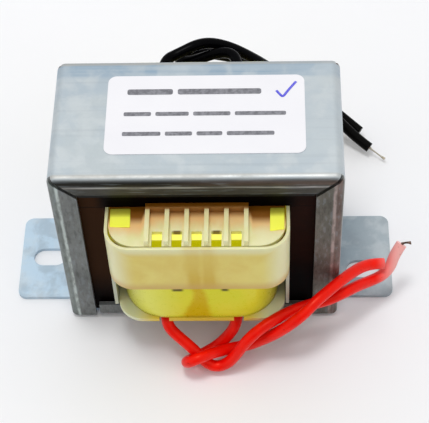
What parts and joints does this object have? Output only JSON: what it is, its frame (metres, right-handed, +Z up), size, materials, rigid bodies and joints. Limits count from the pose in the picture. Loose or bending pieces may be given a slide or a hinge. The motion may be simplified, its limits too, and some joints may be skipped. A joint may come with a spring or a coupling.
{
  "type": "control panel transformer",
  "caption": "Small frame-mounted mains transformer: laminated iron core in a folded steel frame with slotted feet, a split bobbin, and red and black wire leads.",
  "frame": {"origin": "on the mounting plane, under the middle of the frame", "axes": "+X along the row of feet, to the right seen from the red leads, +Y to the black leads at the rear, +Z up"},
  "size_m": [0.0884, 0.0735, 0.0506],
  "materials": {
    "galvanised_steel": "zinc-coated sheet, lightly mottled",
    "varnished_core": "steel sheets under dark varnish",
    "bobbin_plastic": "cream, slightly clear moulded nylon",
    "shroud_plastic": "cream moulded nylon",
    "copper_winding": "enamelled copper wire",
    "yellow_tape": "yellow polyester tape",
    "label_paper": "white adhesive label",
    "red_insulation": "soft red insulation",
    "black_insulation": "soft black insulation",
    "bare_copper": "tarnished stranded wire"
  },
  "bodies": {
    "root": {"mounting_frame": "galvanised_steel", "base_strap": "galvanised_steel", "e_packs_legs_up": "varnished_core", "e_packs_legs_down": "varnished_core", "i_packs_top": "varnished_core", "i_packs_bottom": "varnished_core", "bobbin": "bobbin_plastic", "front_shroud": "shroud_plastic", "rear_shroud": "shroud_plastic", "primary_winding": "copper_winding", "secondary_winding": "copper_winding", "primary_tape": "yellow_tape", "secondary_tape": "yellow_tape", "tape_strip_left": "yellow_tape", "tape_strip_right": "yellow_tape", "rating_label": "label_paper", "red_lead_left": "red_insulation", "red_lead_right": "red_insulation", "black_lead_left": "black_insulation", "black_lead_right": "black_insulation", "red_strand": "bare_copper", "black_strand": "bare_copper"}
  },
  "joints": []
}
